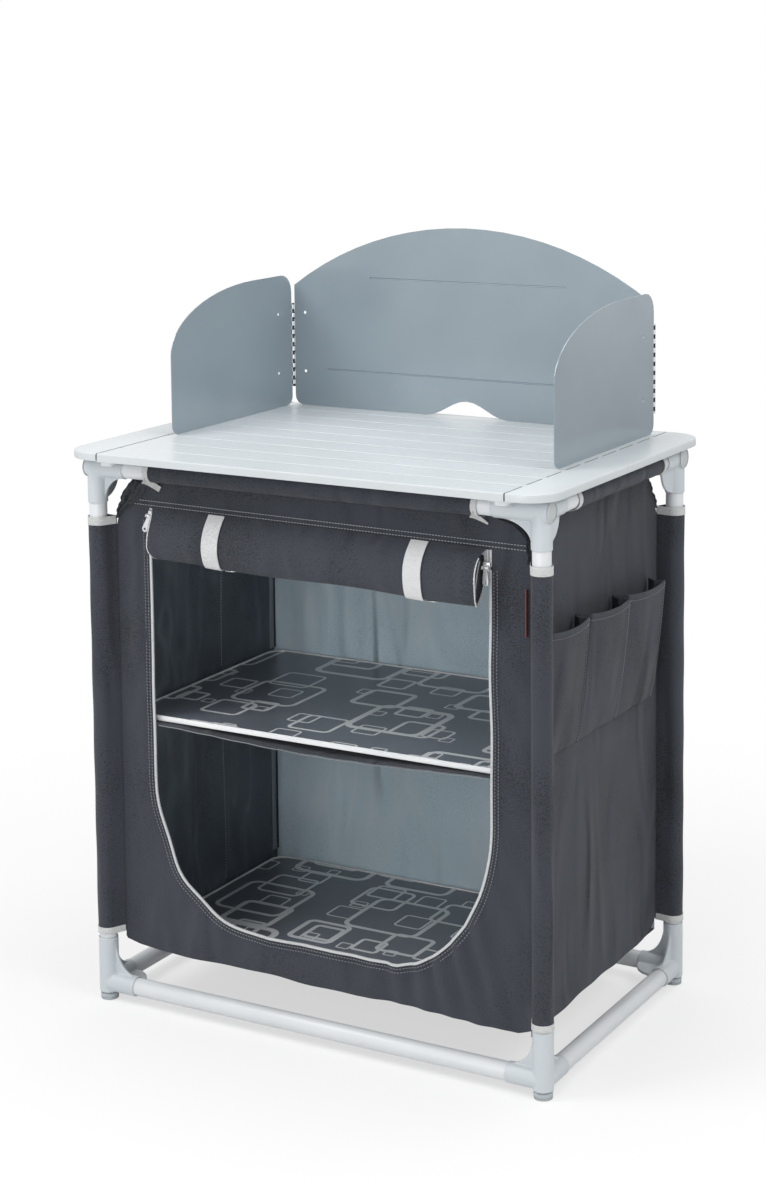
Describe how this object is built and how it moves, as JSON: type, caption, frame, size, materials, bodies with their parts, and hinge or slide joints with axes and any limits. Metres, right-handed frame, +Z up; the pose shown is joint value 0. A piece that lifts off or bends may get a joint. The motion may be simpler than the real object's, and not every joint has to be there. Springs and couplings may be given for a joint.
{
  "type": "camping kitchen cabinet",
  "caption": "Camp kitchen cabinet: tube frame on screw feet, slatted worktop, hinged windscreen, fabric cupboard with shelf boards, roll-up door and side pockets.",
  "frame": {"origin": "on the floor under the middle of the frame, level with the underside of the foot pads", "axes": "+Z up, -Y towards the open front of the cupboard, +X to the right of someone facing it"},
  "size_m": [0.75, 0.513, 1.0833],
  "materials": {
    "frame_tube": "light grey powder-coated steel tube",
    "fitting": "light grey moulded plastic, satin",
    "foot": "grey moulded plastic, knurled",
    "worktop": "light grey coated aluminium slats, satin",
    "worktop_end": "light grey moulded plastic, satin",
    "rail": "light grey coated flat bar",
    "windscreen": "blue-grey coated thin sheet, fine satin",
    "cupboard_cloth": "anthracite coated polyester weave, blue-grey lining",
    "webbing": "light grey woven tape",
    "zip": "nickel-plated zip hardware",
    "shelf_board": "fibreboard with an anthracite printed face and a silver edge"
  },
  "bodies": {
    "frame_and_cupboard": {"fitting_lower_front_left": "fitting", "fitting_lower_front_right": "fitting", "fitting_lower_back_left": "fitting", "fitting_lower_back_right": "fitting", "fitting_upper_front_left": "fitting", "fitting_upper_front_right": "fitting", "fitting_upper_back_left": "fitting", "fitting_upper_back_right": "fitting", "post_front_left": "frame_tube", "post_front_right": "frame_tube", "post_back_left": "frame_tube", "post_back_right": "frame_tube", "tube_lower_front": "frame_tube", "tube_lower_back": "frame_tube", "tube_lower_left": "frame_tube", "tube_lower_right": "frame_tube", "tube_upper_front": "frame_tube", "tube_upper_back": "frame_tube", "tube_upper_left": "frame_tube", "tube_upper_right": "frame_tube", "cupboard_front": "cupboard_cloth", "cupboard_back": "cupboard_cloth", "cupboard_left": "cupboard_cloth", "cupboard_right": "cupboard_cloth", "cupboard_floor": "cupboard_cloth", "shelf_sling": "cupboard_cloth", "door_roll": "cupboard_cloth", "strap_left": "webbing", "strap_right": "webbing", "side_pockets": "cupboard_cloth"},
    "worktop": {"slat_1": "worktop", "slat_2": "worktop", "slat_3": "worktop", "slat_4": "worktop", "slat_5": "worktop", "slat_6": "worktop", "slat_7": "worktop", "slat_8": "worktop", "slat_9": "worktop", "end_bar_left": "worktop_end", "end_bar_right": "worktop_end", "worktop_rail_left": "rail", "worktop_rail_right": "rail"},
    "windscreen": {"windscreen_back": "windscreen"},
    "wing_left": {"windscreen_wing_left": "windscreen"},
    "wing_right": {"windscreen_wing_right": "windscreen"},
    "shelf_middle": {"shelf_board_middle": "shelf_board"},
    "shelf_bottom": {"shelf_board_bottom": "shelf_board"},
    "stem_front_left": {"foot_stem_front_left": "foot"},
    "pad_front_left": {"foot_pad_front_left": "foot"},
    "stem_front_right": {"foot_stem_front_right": "foot"},
    "pad_front_right": {"foot_pad_front_right": "foot"},
    "stem_back_left": {"foot_stem_back_left": "foot"},
    "pad_back_left": {"foot_pad_back_left": "foot"},
    "stem_back_right": {"foot_stem_back_right": "foot"},
    "pad_back_right": {"foot_pad_back_right": "foot"},
    "slider_left": {"zip_slider_left": "zip"},
    "pull_left": {"zip_pull_left": "zip"},
    "slider_right": {"zip_slider_right": "zip"},
    "pull_right": {"zip_pull_right": "zip"}
  },
  "joints": [
    {"name": "worktop_lift_off", "type": "slide", "parent": "frame_and_cupboard", "child": "worktop", "axis": [0, 0, 1], "range_m": [0, 0.12]},
    {"name": "windscreen_lift_off", "type": "slide", "parent": "worktop", "child": "windscreen", "axis": [0, 0, 1], "range_m": [0, 0.1]},
    {"name": "wing_left_fold", "type": "hinge", "parent": "windscreen", "child": "wing_left", "pos_m": [-0.303, 0.2365, 0.89], "axis": [0, 0, 1], "range_deg": [-90, 90]},
    {"name": "wing_right_fold", "type": "hinge", "parent": "windscreen", "child": "wing_right", "pos_m": [0.303, 0.2365, 0.89], "axis": [0, 0, 1], "range_deg": [-90, 90]},
    {"name": "shelf_middle_lift", "type": "slide", "parent": "frame_and_cupboard", "child": "shelf_middle", "axis": [0, 0, 1], "range_m": [0, 0.03]},
    {"name": "shelf_bottom_lift", "type": "slide", "parent": "frame_and_cupboard", "child": "shelf_bottom", "axis": [0, 0, 1], "range_m": [0, 0.03]},
    {"name": "foot_travel_front_left", "type": "slide", "parent": "frame_and_cupboard", "child": "stem_front_left", "axis": [0, 0, -1], "range_m": [0, 0.012]},
    {"name": "foot_turn_front_left", "type": "hinge", "parent": "stem_front_left", "child": "pad_front_left", "pos_m": [-0.346, -0.2125, 0.0045], "axis": [0, 0, -1], "range_deg": [0, 1800]},
    {"name": "foot_travel_front_right", "type": "slide", "parent": "frame_and_cupboard", "child": "stem_front_right", "axis": [0, 0, -1], "range_m": [0, 0.012]},
    {"name": "foot_turn_front_right", "type": "hinge", "parent": "stem_front_right", "child": "pad_front_right", "pos_m": [0.346, -0.2125, 0.0045], "axis": [0, 0, -1], "range_deg": [0, 1800]},
    {"name": "foot_travel_back_left", "type": "slide", "parent": "frame_and_cupboard", "child": "stem_back_left", "axis": [0, 0, -1], "range_m": [0, 0.012]},
    {"name": "foot_turn_back_left", "type": "hinge", "parent": "stem_back_left", "child": "pad_back_left", "pos_m": [-0.346, 0.2125, 0.0045], "axis": [0, 0, -1], "range_deg": [0, 1800]},
    {"name": "foot_travel_back_right", "type": "slide", "parent": "frame_and_cupboard", "child": "stem_back_right", "axis": [0, 0, -1], "range_m": [0, 0.012]},
    {"name": "foot_turn_back_right", "type": "hinge", "parent": "stem_back_right", "child": "pad_back_right", "pos_m": [0.346, 0.2125, 0.0045], "axis": [0, 0, -1], "range_deg": [0, 1800]},
    {"name": "zip_slide_left", "type": "slide", "parent": "frame_and_cupboard", "child": "slider_left", "axis": [0, 0, 1], "range_m": [0, 0.01]},
    {"name": "zip_pull_swing_left", "type": "hinge", "parent": "slider_left", "child": "pull_left", "pos_m": [-0.263, -0.2078, 0.708], "axis": [-0.9272, 0, 0.3746], "range_deg": [-10, 150]},
    {"name": "zip_slide_right", "type": "slide", "parent": "frame_and_cupboard", "child": "slider_right", "axis": [0, 0, 1], "range_m": [0, 0.016]},
    {"name": "zip_pull_swing_right", "type": "hinge", "parent": "slider_right", "child": "pull_right", "pos_m": [0.263, -0.2078, 0.69], "axis": [-1, 0, 0], "range_deg": [-10, 150]}
  ],
  "couplings": [
    {"joint": "foot_travel_front_left", "follows": "foot_turn_front_left", "m_per_rad": 0.0003183},
    {"joint": "foot_travel_front_right", "follows": "foot_turn_front_right", "m_per_rad": 0.0003183},
    {"joint": "foot_travel_back_left", "follows": "foot_turn_back_left", "m_per_rad": 0.0003183},
    {"joint": "foot_travel_back_right", "follows": "foot_turn_back_right", "m_per_rad": 0.0003183}
  ]
}
